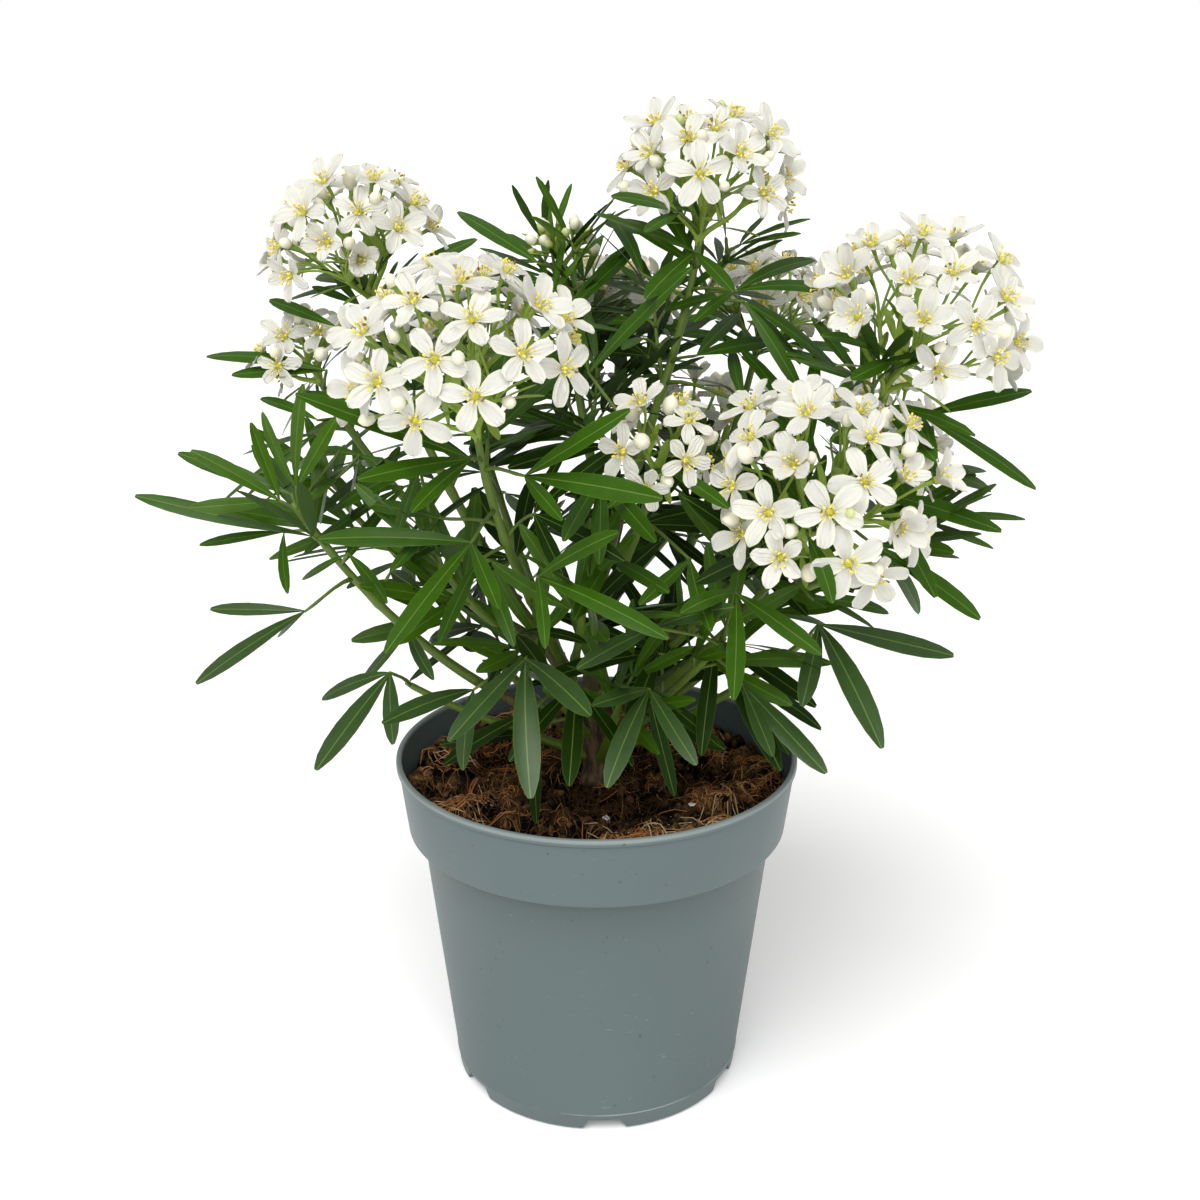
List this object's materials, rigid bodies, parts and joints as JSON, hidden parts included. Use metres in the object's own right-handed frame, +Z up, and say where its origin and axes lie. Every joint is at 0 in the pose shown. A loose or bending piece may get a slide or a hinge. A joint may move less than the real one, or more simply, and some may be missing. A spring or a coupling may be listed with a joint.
{
  "type": "potted mexican orange blossom",
  "caption": "Young flowering evergreen shrub with narrow palmate leaves and domed heads of white blossom, in a round tapered plastic nursery pot.",
  "frame": {"origin": "centre of the flat underside of the pot", "axes": "+Z up, along the pot; +X to the right and -Y towards the viewer, as the pot is seen from the side where the plant leans out furthest over the rim on the left"},
  "size_m": [0.359, 0.2838, 0.4107],
  "materials": {
    "pot": "moulded blue-grey polypropylene, satin",
    "soil": "moist dark brown compost of bark and coir fibre",
    "bark": "thin grey-brown bark, greener towards the twigs",
    "foliage": "leathery dark green leaves and matt white petals"
  },
  "bodies": {
    "root": {"pot": "pot", "soil": "soil", "trunk": "bark", "bough_top": "bark", "bough_left_front": "bark", "bough_left_back": "bark", "bough_right_top": "bark", "bough_right_front": "bark", "bough_back_middle": "bark", "bough_back_right": "bark", "bough_back_left": "bark", "bough_left_leafy": "bark", "bough_centre": "bark", "bough_bud_top": "bark", "bough_left_side": "bark", "bough_back_low_right": "bark", "bough_right_back": "bark", "bough_right_leafy": "bark", "bough_back_left_leafy": "bark", "foliage_top": "foliage", "foliage_left_front": "foliage", "foliage_left_back": "foliage", "foliage_right_top": "foliage", "foliage_right_front": "foliage", "foliage_back_middle": "foliage", "foliage_back_right": "foliage", "foliage_back_left": "foliage", "foliage_left_leafy": "foliage", "foliage_centre": "foliage", "foliage_bud_top": "foliage", "foliage_left_side": "foliage", "foliage_back_low_right": "foliage", "foliage_right_back": "foliage", "foliage_right_leafy": "foliage", "foliage_back_left_leafy": "foliage", "foliage_inner_left": "foliage", "foliage_inner_front": "foliage", "foliage_inner_right": "foliage", "foliage_low_left": "foliage", "foliage_low_front_left": "foliage", "foliage_low_front": "foliage", "foliage_low_front_right": "foliage", "foliage_low_right": "foliage", "foliage_low_back_right": "foliage", "foliage_low_back": "foliage", "foliage_low_back_left": "foliage"}
  },
  "joints": []
}
